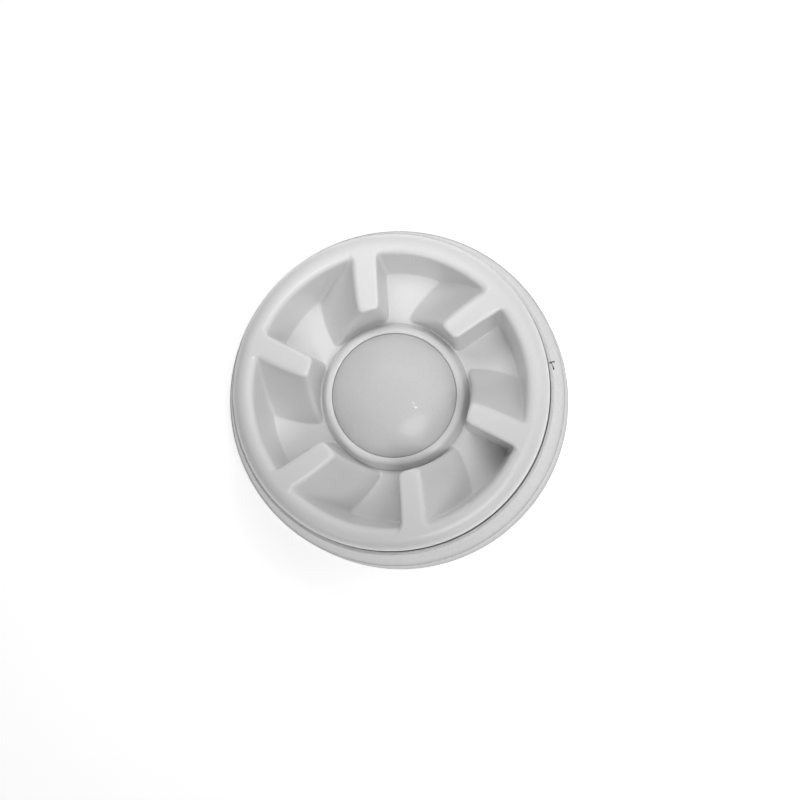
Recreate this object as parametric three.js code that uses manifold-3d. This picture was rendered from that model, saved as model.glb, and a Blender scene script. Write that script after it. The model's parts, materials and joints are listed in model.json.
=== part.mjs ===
// Point heat detector: a plug-in head in a mounting base. Millimetres, +Z out of the face.
// The origin is the centre of the base's rear face, which lies on the ceiling or the table.
// +Y runs up the blade from which the other five are set out, every 60 degrees.
// The head is shown pushed into the base and not yet turned; 18 degrees clockwise locks it.
import * as THREE from 'three';
import { ConvexGeometry } from 'three/addons/geometries/ConvexGeometry.js';
import { mergeVertices } from 'three/addons/utils/BufferGeometryUtils.js';
import Module from 'manifold-3d';

const wasm = await Module();
wasm.setup();

// ---- Driving dimensions -------------------------------------------------------------------
const ROUND = 60; // facets round the large turned parts
const SMALL_ROUND = 16; // and round screws and small turned parts
const FIT = 0.3; // gap between pieces that touch
const WALL = 1.6; // moulded wall thickness

const BASE_R = 51; // rear edge of the base
const SKIRT_R = 49.9; // front edge of the base's upright skirt
const SKIRT_Z = 15;
const LIP_R = 46.5; // top of the sloping shoulder
const LIP_Z = 27.5;
const LIP_WIDTH = 0.9;
const PLATE_Z = 2; // thickness of the base's plate
const CABLE_HOLE_R = 11;

const COVER_R = 45.2; // the head's outer wall
const FACE_Z = 35; // front face of the ring and the blades
const FLOOR_Z = 15.2; // floor of the six air pockets
const COVER_FOOT_Z = 13.6; // rear edge of the cover's wall
const POCKET_TOP_R = 38.9; // pocket's outer wall at the face
const POCKET_FOOT_R = 36.8; // and at the floor
const HUB_R = 22.4; // the blades end here, round the collar
const COLLAR_HOLE_R = 21.9;
const BLADES = 6;
const BLADE_PITCH = 360 / BLADES; // degrees from one blade to the next

const DOME_R = 18.2;
const DOME_EDGE_Z = 19.3;
const DOME_TOP_Z = 25.3;

const HOUSING_R = 41.4; // rear moulding of the head
const HOUSING_Z = 9;
const HOUSING_TOP_Z = 10.4;
const BOARD_Z = 10.7; // underside of the circuit board
const BOARD_TOP_Z = 11.9;
const PART_Z = BOARD_TOP_Z + FIT; // where the board's components stand

const TWIST = 18; // degrees from pushed in to locked
const LUG_AT = [20, 140, 260]; // bayonet lugs, unlocked
const TERMINAL_AT = [45, 135, 225, 315]; // where a contact meets its terminal, locked
const CONTACT_R = 33;
const SCREEN_AT = 75; // the cable-screen terminal, which has no contact
const SCREW_R = 1.45; // shank of every screw
const CROSS_WIDTH = 0.6; // cross recess in their heads
const HEAD_SCREW_R = 27;
const HEAD_SCREW_AT = [104, 224, 344]; // behind every second blade

const deg = THREE.MathUtils.degToRad;

// ---- Materials ----------------------------------------------------------------------------
const material = (color, roughness, metalness = 0) =>
  new THREE.MeshStandardMaterial({ color, roughness, metalness });
const coverWhite = material(0xe6e6e4, 0.3);
const baseWhite = material(0xe2e2e0, 0.5);
const domeWhite = material(0xdcdcda, 0.4);
const housingWhite = material(0xd8d8d4, 0.55);
const foamGrey = material(0x4a4c4e, 0.95);
const sealRubber = material(0x2a2a2a, 0.8);
const nickel = material(0xb9b4a6, 0.32, 1);
const zincSteel = material(0xa9acae, 0.38, 1);
const boardGreen = material(0x1f5a3a, 0.5);
const chipBlack = material(0x1c1c1e, 0.55);
const canAluminium = material(0xb8babc, 0.35, 1);
const clearGlass = material(0xcfe0da, 0.08);
const ledRed = material(0xb02020, 0.2);
const beadBlack = material(0x15181c, 0.3);
const stemBeige = material(0xcfc7b2, 0.6);

// ---- Solids -------------------------------------------------------------------------------
// A closed three.js geometry as a manifold-3d solid, with its faces turned out.
function solid(geometry) {
  const bare = geometry.index ? geometry.toNonIndexed() : geometry.clone();
  bare.deleteAttribute('normal');
  bare.deleteAttribute('uv');
  const merged = mergeVertices(bare, 1e-4);
  const index = merged.index.array;
  const kept = [];
  for (let i = 0; i < index.length; i += 3) {
    const [a, b, c] = [index[i], index[i + 1], index[i + 2]];
    if (a !== b && b !== c && c !== a) kept.push(a, b, c);
  }
  const make = (triVerts) =>
    new wasm.Manifold(
      new wasm.Mesh({
        numProp: 3,
        vertProperties: merged.attributes.position.array,
        triVerts: new Uint32Array(triVerts),
      }),
    );
  const made = make(kept);
  return made.volume() > 0 ? made : make(kept.reverse());
}

// A manifold-3d solid as a named mesh.
function mesh(name, made, look) {
  const { vertProperties, triVerts } = made.getMesh();
  const geometry = new THREE.BufferGeometry();
  geometry.setAttribute('position', new THREE.BufferAttribute(vertProperties, 3));
  geometry.setIndex(new THREE.BufferAttribute(triVerts, 1));
  geometry.computeVertexNormals();
  const node = new THREE.Mesh(geometry, look);
  node.name = name;
  return node;
}

const join = (...solids) => solids.reduce((all, next) => all.add(next));
const cut = (body, ...tools) => tools.reduce((left, tool) => left.subtract(tool), body);

// A turned solid from [radius, z] pairs; the outline closes on itself or on the axis.
function turned(outline, facets = ROUND) {
  const points = outline.map(([r, z]) => new THREE.Vector2(r, z));
  if (outline[0][0] > 0) points.push(points[0].clone());
  return solid(new THREE.LatheGeometry(points, facets).rotateX(Math.PI / 2));
}

function block(x0, x1, y0, y1, z0, z1) {
  const box = new THREE.BoxGeometry(x1 - x0, y1 - y0, z1 - z0);
  return solid(box.translate((x0 + x1) / 2, (y0 + y1) / 2, (z0 + z1) / 2));
}

function rod(radius, z0, z1, x = 0, y = 0, facets = 24) {
  const cylinder = new THREE.CylinderGeometry(radius, radius, z1 - z0, facets);
  return solid(cylinder.rotateX(Math.PI / 2).translate(x, y, (z0 + z1) / 2));
}

// A flat outline raised from z0 to z1.
function raised(shape, z0, z1) {
  const options = { depth: z1 - z0, bevelEnabled: false, curveSegments: 5 };
  return solid(new THREE.ExtrudeGeometry(shape, options).translate(0, 0, z0));
}

// A slice of a ring between two radii, two heights and two angles.
function sector(r0, r1, z0, z1, from, to) {
  const shape = new THREE.Shape();
  shape.absarc(0, 0, r1, deg(from), deg(to), false);
  shape.absarc(0, 0, r0, deg(to), deg(from), true);
  return raised(shape, z0, z1);
}

// A slot with round ends, along X, from radius r0 to r1.
function slot(r0, r1, width, z0, z1) {
  const shape = new THREE.Shape();
  const half = width / 2;
  shape.absarc(r1 - half, 0, half, -Math.PI / 2, Math.PI / 2, false);
  shape.absarc(r0 + half, 0, half, Math.PI / 2, (3 * Math.PI) / 2, false);
  return raised(shape, z0, z1);
}

// A strip bent to an outline of [y, z] pairs, between x0 and x1.
function strip(outline, x0, x1) {
  const shape = new THREE.Shape(outline.map(([t, z]) => new THREE.Vector2(t, z)));
  const options = { depth: x1 - x0, bevelEnabled: false };
  const made = new THREE.ExtrudeGeometry(shape, options);
  // The outline's own plane becomes YZ and its depth becomes X.
  made.applyMatrix4(new THREE.Matrix4().set(0, 0, 1, x0, 1, 0, 0, 0, 0, 1, 0, 0, 0, 0, 0, 1));
  return solid(made);
}

// The cross recess of a screw head, on the Z axis.
function crossRecess(length, z0, z1) {
  const half = length / 2;
  const thin = CROSS_WIDTH / 2;
  return join(block(-half, half, -thin, thin, z0, z1), block(-thin, thin, -half, half, z0, z1));
}

const spun = (made, angle) => made.rotate([0, 0, angle]);
const polar = (r, angle, z) =>
  new THREE.Vector3(r * Math.cos(deg(angle)), r * Math.sin(deg(angle)), z);

// Points along an arc between two angles, as [radius, z] pairs.
function arc(r, z, radius, from, to, steps) {
  const points = [];
  for (let i = 0; i <= steps; i++) {
    const a = deg(from + ((to - from) * i) / steps);
    points.push([r + radius * Math.cos(a), z + radius * Math.sin(a)]);
  }
  return points;
}

// ---- Mounting base ------------------------------------------------------------------------
const BOSS_TOP_Z = PLATE_Z + 0.6;
const TERMINAL_TURN = -8; // the strip's middle lies this far round from its contact
const CLAMP_Y = -5.2; // the clamp screw along the strip

function bayonetHook(lugAngle) {
  const from = lugAngle - TWIST - 10;
  const to = lugAngle - 9.5;
  const innerR = 42.1;
  const wallR = 44.8;
  const outerR = 46.3;
  const topZ = 13;
  const ceilingZ = 11;
  return join(
    sector(wallR, outerR, 1, topZ, from, to),
    sector(innerR, wallR + 0.2, ceilingZ, topZ, from, to),
    sector(innerR, wallR + 0.2, 1, ceilingZ + 0.5, from, from + 1.8),
  );
}

function mountingBase() {
  const shell = turned([
    [CABLE_HOLE_R, 0],
    [BASE_R - 0.3, 0],
    [BASE_R, 0.4],
    [SKIRT_R + 0.1, SKIRT_Z - 0.9],
    [SKIRT_R - 0.35, SKIRT_Z],
    [LIP_R, LIP_Z - 0.4],
    [LIP_R - 0.4, LIP_Z],
    [LIP_R - LIP_WIDTH, LIP_Z],
    [LIP_R - LIP_WIDTH, LIP_Z - 2],
    [SKIRT_R - 2, SKIRT_Z - 0.5],
    [SKIRT_R - 1.5, PLATE_Z],
    [CABLE_HOLE_R, PLATE_Z],
  ]);
  const collar = turned([
    [CABLE_HOLE_R, PLATE_Z - 0.5],
    [CABLE_HOLE_R + 1.4, PLATE_Z - 0.5],
    [CABLE_HOLE_R + 1.4, PLATE_Z + 1.6],
    [CABLE_HOLE_R, PLATE_Z + 1.6],
  ]);
  let made = join(shell, collar, ...LUG_AT.map(bayonetHook));
  for (const at of TERMINAL_AT) {
    const pad = block(28.6, 37.4, -9.4, 0.2, PLATE_Z - 0.5, BOSS_TOP_Z);
    const rest = block(30.5, 35.5, 6.4, 8.8, PLATE_Z - 0.5, BOSS_TOP_Z);
    const hole = rod(1.9, 0.7, 4, CONTACT_R, CLAMP_Y, 12);
    made = join(made, spun(pad, at + TERMINAL_TURN), spun(rest, at + TERMINAL_TURN));
    made = cut(made, spun(hole, at + TERMINAL_TURN));
  }
  made = join(made, spun(block(28.8, 37.2, -4.2, 4.2, PLATE_Z - 0.5, BOSS_TOP_Z), SCREEN_AT));
  made = cut(made, spun(rod(1.9, 0.7, 4, CONTACT_R, 0, 12), SCREEN_AT));
  for (const at of [0, 90, 180, 270]) {
    made = cut(made, spun(slot(23, 34, 4, -1, 4), at));
    made = cut(made, spun(slot(21.6, 35.4, 7.4, PLATE_Z - 0.6, 4), at));
  }
  return mesh('mounting_base', made, baseWhite);
}

// ---- Base terminals -----------------------------------------------------------------------
const TERMINAL_Z = BOSS_TOP_Z + FIT;
const TERMINAL_THICK = 0.8;
const CLAMP_Z = TERMINAL_Z + TERMINAL_THICK + FIT;
const CLAMP_THICK = 1;
const SCREW_HEAD_Z = CLAMP_Z + CLAMP_THICK + 0.2;

// A springy strip: flat under the clamp, then an arched finger that the head's contact wipes.
function terminalStrip() {
  const z = TERMINAL_Z;
  const t = TERMINAL_THICK;
  const made = strip(
    [
      [-8.8, z], [0.6, z], [2.4, 5.1], [4.4, 5.7], [6.2, 5.1], [7.2, z], [8.6, z],
      [8.6, z + t], [7.8, z + t], [6.7, 5.8], [4.5, 6.5], [1.9, 5.8], [0, z + t], [-8.8, z + t],
    ],
    30.2,
    35.8,
  );
  return cut(made, rod(SCREW_R + FIT, 0, 8, CONTACT_R, CLAMP_Y, 16));
}

const screenStrip = () =>
  cut(
    block(29.6, 36.4, -3.4, 3.4, TERMINAL_Z, TERMINAL_Z + TERMINAL_THICK),
    rod(SCREW_R + FIT, 0, 8, CONTACT_R, 0, 16),
  );

// A square washer with turned-up ends, which lifts with its screw.
function clampPlate(y) {
  const z = CLAMP_Z;
  const plate = block(29.4, 36.6, y - 3, y + 3, z, z + CLAMP_THICK);
  const ends = [29.4, 35.9].map((x) => block(x, x + 0.7, y - 3, y + 3, z, z + 1.9));
  return cut(join(plate, ...ends), rod(SCREW_R + FIT, 0, 8, CONTACT_R, y, 16));
}

function clampScrew(y) {
  const topZ = SCREW_HEAD_Z + 1.8;
  const z = SCREW_HEAD_Z;
  const head = turned(
    [[0, z], [2.3, z], [2.5, z + 0.2], [2.5, topZ - 0.7], [1.4, topZ], [0, topZ]],
    SMALL_ROUND,
  );
  const shank = rod(SCREW_R, 1.2, SCREW_HEAD_Z + 0.1, 0, 0, 12);
  return cut(join(head, shank), crossRecess(3.4, topZ - 0.9, 9)).translate([CONTACT_R, y, 0]);
}

function terminals() {
  const group = new THREE.Group();
  const places = TERMINAL_AT.map((at, i) => [i + 1, at + TERMINAL_TURN, CLAMP_Y]);
  for (const [label, turn, y] of [...places, ['screen', SCREEN_AT, 0]]) {
    const made = label === 'screen' ? screenStrip() : terminalStrip();
    const spot = new THREE.Group();
    spot.rotation.z = deg(turn);
    spot.add(
      mesh(`terminal_${label}`, made, nickel),
      mesh(`clamp_plate_${label}`, clampPlate(y), zincSteel),
      mesh(`clamp_screw_${label}`, clampScrew(y), zincSteel),
    );
    group.add(spot);
  }
  return group;
}

// ---- Draught seal: a foam ring carried on the head's spigot -------------------------------
const draughtSeal = () =>
  mesh(
    'draught_seal',
    turned([[16.6, 2.4], [20.6, 2.4], [20.9, 2.8], [20.9, 8.2], [20.6, 8.6], [16.6, 8.6]], 36),
    foamGrey,
  );

// ---- Head: front cover --------------------------------------------------------------------
// Corners of one blade and of the ramp behind it, as [radius, angle]; the next blade is 60 on.
const BLADE = {
  wallFoot: [[18, 94.6], [38, 94.3]], // clockwise side, at the floor
  wallTop: [[18, 96.9], [40, 95.1]], // and at the face
  edgeTop: [[18, 112.7], [40, 104.6]], // the ramp's top edge
  rampFoot: [[18, 145], [38, 127]], // the ramp's foot on the next floor
};

// The space under one blade's face, wall and ramp, between two radii; inset pulls its sides in.
function bladeBlock(inner, outer, lowZ, highZ, inset) {
  const corner = ([near, far], r, z, shift) => {
    const share = (r - near[0]) / (far[0] - near[0]);
    const angle = near[1] + (far[1] - near[1]) * share;
    return polar(r, angle + (shift / r) * (180 / Math.PI), z);
  };
  const points = [];
  for (const r of [inner, outer]) {
    points.push(
      corner(BLADE.wallFoot, r, lowZ, inset),
      corner(BLADE.wallTop, r, highZ, inset),
      corner(BLADE.edgeTop, r, highZ, -inset * 1.3),
      corner(BLADE.rampFoot, r, lowZ, -inset * 1.3),
    );
  }
  return solid(new ConvexGeometry(points));
}

function coverShell() {
  return turned([
    [COLLAR_HOLE_R, FLOOR_Z],
    [POCKET_FOOT_R, FLOOR_Z],
    [POCKET_TOP_R - 0.2, FACE_Z - 1.4],
    [POCKET_TOP_R + 0.3, FACE_Z - 0.4],
    [POCKET_TOP_R + 1.3, FACE_Z],
    ...arc(COVER_R - 4.2, FACE_Z - 4.2, 4.2, 90, 0, 5),
    [COVER_R, COVER_FOOT_Z],
    [COVER_R - 1.8, COVER_FOOT_Z],
    [COVER_R - 1.8, FACE_Z - 5],
    [COVER_R - 3.4, FACE_Z - WALL],
    [POCKET_TOP_R + 1.6, FACE_Z - WALL],
    [POCKET_FOOT_R + 1.5, FLOOR_Z - 1.5],
    [COLLAR_HOLE_R, FLOOR_Z - 1.5],
  ]);
}

function frontCover() {
  let made = coverShell();
  const hub = rod(HUB_R, FLOOR_Z - 1, FACE_Z + 1, 0, 0, ROUND);
  for (let i = 0; i < BLADES; i++) {
    const blade = cut(bladeBlock(20, 38.6, FLOOR_Z - 0.5, FACE_Z, 0), hub);
    const hollow = bladeBlock(30, 36.6, FLOOR_Z - 2, FACE_Z - 2.6, WALL);
    const at = BLADE_PITCH * i;
    made = cut(join(made, spun(blade, at)), spun(hollow, at));
  }
  for (const at of HEAD_SCREW_AT) {
    const boss = rod(2.9, BOARD_Z + 0.1, FLOOR_Z - 1, HEAD_SCREW_R, 0, 20);
    const pilot = rod(SCREW_R + FIT, BOARD_Z - 1, 22.5, HEAD_SCREW_R, 0, 16);
    made = cut(join(made, spun(boss, at)), spun(pilot, at));
  }
  return mesh('front_cover', made, coverWhite);
}

// ---- Head: sensing dome and its collar ----------------------------------------------------
const collarRing = () =>
  mesh(
    'dome_collar',
    turned([
      [DOME_R + FIT, 19.5], [19.2, 20], [20, 19.4], [21.5, 15.6], [21.6, 13.4],
      [23.4, 13.4], [23.4, 12.3], [20.2, 12.3], [20.2, 14.7], [DOME_R + FIT, 14.7],
    ]),
    coverWhite,
  );

// Flatter in the middle and steeper at its edge than a ball's cap.
const DOME_POWER = 2.5;
const domeHeight = (share) => (1 - share ** DOME_POWER) ** (1 / 1.5);
function domeLine(radius, edgeZ, topZ, steps) {
  const points = [];
  for (let i = 0; i <= steps; i++) {
    const share = Math.sin((Math.PI / 2) * (i / steps));
    points.push([radius * share, edgeZ + (topZ - edgeZ) * domeHeight(share)]);
  }
  return points;
}

function sensorDome() {
  const outside = domeLine(DOME_R, DOME_EDGE_Z, DOME_TOP_Z, 6);
  const inside = domeLine(DOME_R - 1, DOME_EDGE_Z - 0.6, DOME_TOP_Z - 1, 4).reverse();
  const flange = [[DOME_R, 13.2], [19.9, 13.2], [19.9, 12.2], [DOME_R - 1, 12.2]];
  return mesh('sensor_dome', turned([...outside, ...flange, ...inside], 48), domeWhite);
}

const domeSeal = () =>
  mesh('dome_o_ring', turned(arc(19.15, 13.95, 0.5, 0, 300, 5), 36), sealRubber);

// ---- Head: rear housing, contacts and screws ----------------------------------------------
function contactBlade() {
  const footZ = 6.8;
  const thick = 0.8;
  return strip(
    [[-3, footZ], [3, footZ], [3, BOARD_Z - FIT], [3 - thick, BOARD_Z - FIT],
      [3 - thick, footZ + thick], [-2.6, footZ + thick], [-3.4, footZ + thick + 0.7],
      [-3.9, footZ + thick + 0.2]],
    CONTACT_R - 2.6,
    CONTACT_R + 2.6,
  );
}

const contactTurn = (at) => at + TWIST;

function rearHousing() {
  const tray = turned([
    [0, HOUSING_Z], [14.6, HOUSING_Z], [14.8, 5.2], [16.2, 5.2], [16.2, HOUSING_Z],
    [HOUSING_R - 0.4, HOUSING_Z], [HOUSING_R, HOUSING_Z + 0.4], [HOUSING_R, 13.2],
    [HOUSING_R - 1.5, 13.2], [HOUSING_R - 1.5, HOUSING_TOP_Z], [0, HOUSING_TOP_Z],
  ]);
  const lugs = LUG_AT.map((at) => sector(HOUSING_R - 0.6, 44.3, HOUSING_Z, 10.6, at - 7, at + 7));
  let made = join(tray, ...lugs);
  for (const at of HEAD_SCREW_AT) {
    made = cut(made, spun(rod(SCREW_R + FIT, 8, 12, HEAD_SCREW_R, 0, 16), at));
  }
  for (const at of TERMINAL_AT) {
    const gap = block(CONTACT_R - 3, CONTACT_R + 3, 1.8, 3.4, 8, 12);
    made = cut(made, spun(gap, contactTurn(at)));
  }
  return mesh('rear_housing', made, housingWhite);
}

function headScrew() {
  const head = turned(
    [[0, 6.9], [1.6, 6.9], [2.5, 7.5], [2.7, 8.2], [2.7, 8.7], [0, 8.7]],
    SMALL_ROUND,
  );
  const shank = rod(SCREW_R - 0.15, 8.6, 21.5, 0, 0, 10);
  return cut(join(head, shank), crossRecess(3.2, 6, 7.8)).translate([HEAD_SCREW_R, 0, 0]);
}

function rearParts() {
  const group = new THREE.Group();
  group.add(rearHousing());
  TERMINAL_AT.forEach((at, i) => {
    const contact = mesh(`contact_blade_${i + 1}`, contactBlade(), nickel);
    contact.rotation.z = deg(contactTurn(at));
    group.add(contact);
  });
  HEAD_SCREW_AT.forEach((at, i) => {
    const screw = mesh(`head_screw_${i + 1}`, headScrew(), zincSteel);
    screw.rotation.z = deg(at);
    group.add(screw);
  });
  return group;
}

// ---- Head: circuit board and what stands on it --------------------------------------------
function circuitBoard() {
  let made = rod(39.4, BOARD_Z, BOARD_TOP_Z, 0, 0, 60);
  for (const at of HEAD_SCREW_AT) {
    made = cut(made, spun(rod(3.3, 8, 14, HEAD_SCREW_R, 0, 20), at));
  }
  return mesh('circuit_board', made, boardGreen);
}

// A round wire through a few points, used for the sensing bead's two leads.
function wire(points, radius) {
  const path = new THREE.CatmullRomCurve3(points.map((p) => new THREE.Vector3(...p)));
  const section = new THREE.Shape().absarc(0, 0, radius, 0, 2 * Math.PI, false);
  const options = { steps: 10, extrudePath: path, bevelEnabled: false, curveSegments: 3 };
  return solid(new THREE.ExtrudeGeometry(section, options));
}

function sensingParts() {
  const group = new THREE.Group();
  const beadZ = 22.7;
  const stem = turned(
    [[0, PART_Z], [3.2, PART_Z], [3.2, PART_Z + 1], [1.7, PART_Z + 1.6], [1.4, 20.9], [0, 20.9]],
    SMALL_ROUND,
  );
  const bead = solid(new THREE.SphereGeometry(1.2, 12, 8).translate(0, 0, beadZ));
  const bends = [[4.2, PART_Z], [4.2, 14.5], [2.6, 18], [2.1, beadZ - 0.8], [1.75, beadZ]];
  const lead = (side) => wire(bends.map(([x, z]) => [side * x, 0, z]), 0.25);
  group.add(
    mesh('thermistor_stem', stem, stemBeige),
    mesh('sensing_thermistor', bead, beadBlack),
    mesh('thermistor_lead_1', lead(1), nickel),
    mesh('thermistor_lead_2', lead(-1), nickel),
  );
  return group;
}

function boardParts() {
  const group = new THREE.Group();
  // name, width, depth, height, radius from the centre, angle, look
  const chips = [
    ['microcontroller', 7, 7, 1.1, 30.5, 84, chipBlack],
    ['bridge_rectifier', 5, 4, 1.2, 31, 205, chipBlack],
    ['voltage_regulator', 4.6, 2.6, 1.2, 31, 262, chipBlack],
    ['surge_suppressor', 4.6, 3.6, 1.2, 31, 322, chipBlack],
    ['reference_thermistor', 1.6, 2.4, 0.9, 34, 24, beadBlack],
    ['crystal', 5, 3.2, 1, 31.5, 145, canAluminium],
  ];
  for (const [name, width, depth, height, r, angle, look] of chips) {
    const chip = block(-width / 2, width / 2, -depth / 2, depth / 2, PART_Z, PART_Z + height);
    const node = mesh(name, chip, look);
    node.rotation.z = deg(angle);
    node.position.copy(polar(r, angle, 0));
    group.add(node);
  }
  const canSide = [[3.1, PART_Z], [3.1, 12.9], [2.9, 13.1], [3.1, 13.3], [3.1, 17.2]];
  const can = turned([[0, PART_Z], ...canSide, [2.9, 17.5], [0, 17.5]], SMALL_ROUND);
  const lensSide = [[1.9, 13.4], [1.9, 14.3], [1.5, 14.3], [1.5, 16.6], [1.1, 17.5], [0.5, 17.9]];
  const lens = turned([[0, 13.4], ...lensSide, [0, 18]], SMALL_ROUND);
  const reed = turned([[0, -7], [0.5, -6.8], [1.1, -5.6], [1.1, 5.6], [0.5, 6.8], [0, 7]], 12)
    .rotate([0, 90, 0]);
  const parts = [
    ['storage_capacitor', can, [-8.5, -6.5, 0], canAluminium],
    ['alarm_led', lens, [9, 6, 0], ledRed],
    ['reed_switch', reed, [2, -11.2, 14], clearGlass],
  ];
  for (const [name, made, place, look] of parts) {
    const node = mesh(name, made, look);
    node.position.set(...place);
    group.add(node);
  }
  return group;
}

// ---- Assembly -----------------------------------------------------------------------------
const base = new THREE.Group();
base.add(mountingBase(), terminals());

const head = new THREE.Group();
head.add(frontCover(), collarRing(), sensorDome(), domeSeal(), rearParts());
head.add(circuitBoard(), sensingParts(), boardParts());

const detector = new THREE.Group();
detector.add(base, draughtSeal(), head);

export default detector;
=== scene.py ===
import json
import math

import bmesh
import bpy
import numpy as np
from mathutils import Matrix, Vector

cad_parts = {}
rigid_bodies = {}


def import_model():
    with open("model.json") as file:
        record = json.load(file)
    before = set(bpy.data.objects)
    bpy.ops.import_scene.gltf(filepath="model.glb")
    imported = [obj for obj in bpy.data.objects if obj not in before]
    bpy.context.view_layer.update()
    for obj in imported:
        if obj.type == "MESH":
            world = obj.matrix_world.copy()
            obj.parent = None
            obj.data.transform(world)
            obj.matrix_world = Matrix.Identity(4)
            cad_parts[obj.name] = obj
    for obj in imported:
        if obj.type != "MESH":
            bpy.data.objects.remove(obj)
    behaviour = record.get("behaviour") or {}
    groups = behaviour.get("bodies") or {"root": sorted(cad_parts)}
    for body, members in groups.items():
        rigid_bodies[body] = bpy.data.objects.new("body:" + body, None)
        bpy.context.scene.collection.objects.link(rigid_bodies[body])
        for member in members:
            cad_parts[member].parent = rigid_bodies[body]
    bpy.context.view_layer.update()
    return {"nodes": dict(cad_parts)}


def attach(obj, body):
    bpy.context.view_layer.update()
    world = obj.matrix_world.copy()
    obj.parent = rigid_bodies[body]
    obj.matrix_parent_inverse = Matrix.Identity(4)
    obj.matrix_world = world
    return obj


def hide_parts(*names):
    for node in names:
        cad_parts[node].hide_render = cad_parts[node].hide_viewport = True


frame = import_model()

# ---- Camera --------------------------------------------------------------------------------
# The detector lies face up and is seen from 0.4 m above the table, 8 degrees off its axis
# towards the lower right, so that the skirt shows most on that side.
MM = 0.001
VIEW_TILT = math.radians(8.0)
VIEW_SIDE = math.radians(-45.0)
VIEW_DISTANCE = 0.4
VIEW_TARGET = Vector((1.5, -1.2, 17.0)) * MM
VIEW_WIDTH = 0.235
SENSOR_WIDTH = 36

toward_camera = Vector((
    math.sin(VIEW_TILT) * math.cos(VIEW_SIDE),
    math.sin(VIEW_TILT) * math.sin(VIEW_SIDE),
    math.cos(VIEW_TILT),
))
camera_right = Vector((0, 1, 0)).cross(toward_camera).normalized()
camera_up = toward_camera.cross(camera_right)
camera_data = bpy.data.cameras.new("camera")
camera_data.sensor_width = SENSOR_WIDTH
camera_data.lens = SENSOR_WIDTH * VIEW_DISTANCE / VIEW_WIDTH
camera_data.clip_start = 0.01
camera = bpy.data.objects.new("camera", camera_data)
camera.matrix_world = Matrix.Translation(VIEW_TARGET + toward_camera * VIEW_DISTANCE) @ (
    Matrix((camera_right, camera_up, toward_camera)).transposed().to_4x4()
)
bpy.context.scene.collection.objects.link(camera)
bpy.context.scene.camera = camera
bpy.context.scene.view_settings.view_transform = "Standard"


# ---- Studio: floor, world and lights -------------------------------------------------------
# A plain white table that glows a little, and a dim pale room. Broad soft lights stand low and
# high on the -Y side, and weak round lamps fill in from +X and +Y. Three small ones give the
# narrow highlights on the dome and the blades.
TABLE_HALF = 3.0
TABLE_DROP = 0.0002
TABLE_GLOW = 0.55
ROOM_LIGHT = 0.02
LIGHT_AIM_Z = 0.03
SOFT = 28
FAR_LIGHTS = [
    (240, 28, 0.22, SOFT), (300, 44, 0.16, SOFT), (300, 60, 0.74, SOFT), (300, 12, 0.26, SOFT),
    (352, 80.5, 0.03, 2), (338, 77.5, 0.03, 2), (15, 42, 0.06, 3),
]
LOW_LAMPS = [(0, 14, 0.05), (90, 14, 0.075), (0, 55, 0.07)]
LOW_LAMP_DISTANCE = 0.22
LOW_LAMP_SIZE = 0.14
TOP_LAMPS = [(30, 62, 0.016), (90, 62, 0.040), (120, 62, 0.030)]
TOP_LAMP_DISTANCE = 0.13
TOP_LAMP_SIZE = 0.05


def node_material(name):
    made = bpy.data.materials.new(name)
    made.use_nodes = True
    return made, made.node_tree.nodes["Principled BSDF"]


def add_object(name, mesh, material=None):
    made = bpy.data.objects.new(name, mesh)
    bpy.context.scene.collection.objects.link(made)
    if material:
        mesh.materials.append(material)
    return made


def make_floor():
    material, skin = node_material("table")
    skin.inputs["Base Color"].default_value = (0.9, 0.9, 0.9, 1)
    skin.inputs["Roughness"].default_value = 0.9
    skin.inputs["Emission Color"].default_value = (1, 1, 1, 1)
    skin.inputs["Emission Strength"].default_value = TABLE_GLOW
    mesh = bpy.data.meshes.new("table")
    half = TABLE_HALF
    corners = [(-half, -half, 0), (half, -half, 0), (half, half, 0), (-half, half, 0)]
    mesh.from_pydata(corners, [], [(0, 1, 2, 3)])
    floor = add_object("table", mesh, material)
    floor.location.z = -TABLE_DROP
    return floor


make_floor()

world = bpy.data.worlds.new("room")
world.use_nodes = True
background = world.node_tree.nodes["Background"]
background.inputs["Color"].default_value = (1, 1, 1, 1)
background.inputs["Strength"].default_value = ROOM_LIGHT
bpy.context.scene.world = world


def put_light(data, azimuth, elevation, distance):
    """Places a light in its direction, aimed at the detector. Only far ones show in gloss."""
    away = Vector((
        math.cos(math.radians(elevation)) * math.cos(math.radians(azimuth)),
        math.cos(math.radians(elevation)) * math.sin(math.radians(azimuth)),
        math.sin(math.radians(elevation)),
    ))
    light = bpy.data.objects.new(data.name, data)
    light.location = away * distance + Vector((0, 0, LIGHT_AIM_Z))
    light.rotation_euler = away.to_track_quat("Z", "Y").to_euler()
    light.visible_camera = False
    light.visible_glossy = data.type == "SUN"
    bpy.context.scene.collection.objects.link(light)


def far_light(name, azimuth, elevation, strength, softness):
    data = bpy.data.lights.new(name, "SUN")
    data.energy = strength
    data.angle = math.radians(softness)
    put_light(data, azimuth, elevation, 1.0)


def near_light(name, azimuth, elevation, power, distance, size):
    data = bpy.data.lights.new(name, "AREA")
    data.shape = "DISK"
    data.size = size
    data.energy = power
    put_light(data, azimuth, elevation, distance)


for i, (azimuth, elevation, strength, softness) in enumerate(FAR_LIGHTS):
    far_light(f"far_light_{i + 1}", azimuth, elevation, strength, softness)
for i, (azimuth, elevation, power) in enumerate(LOW_LAMPS):
    near_light(f"low_light_{i + 1}", azimuth, elevation, power, LOW_LAMP_DISTANCE, LOW_LAMP_SIZE)
for i, (azimuth, elevation, power) in enumerate(TOP_LAMPS):
    near_light(f"top_light_{i + 1}", azimuth, elevation, power, TOP_LAMP_DISTANCE, TOP_LAMP_SIZE)



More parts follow.
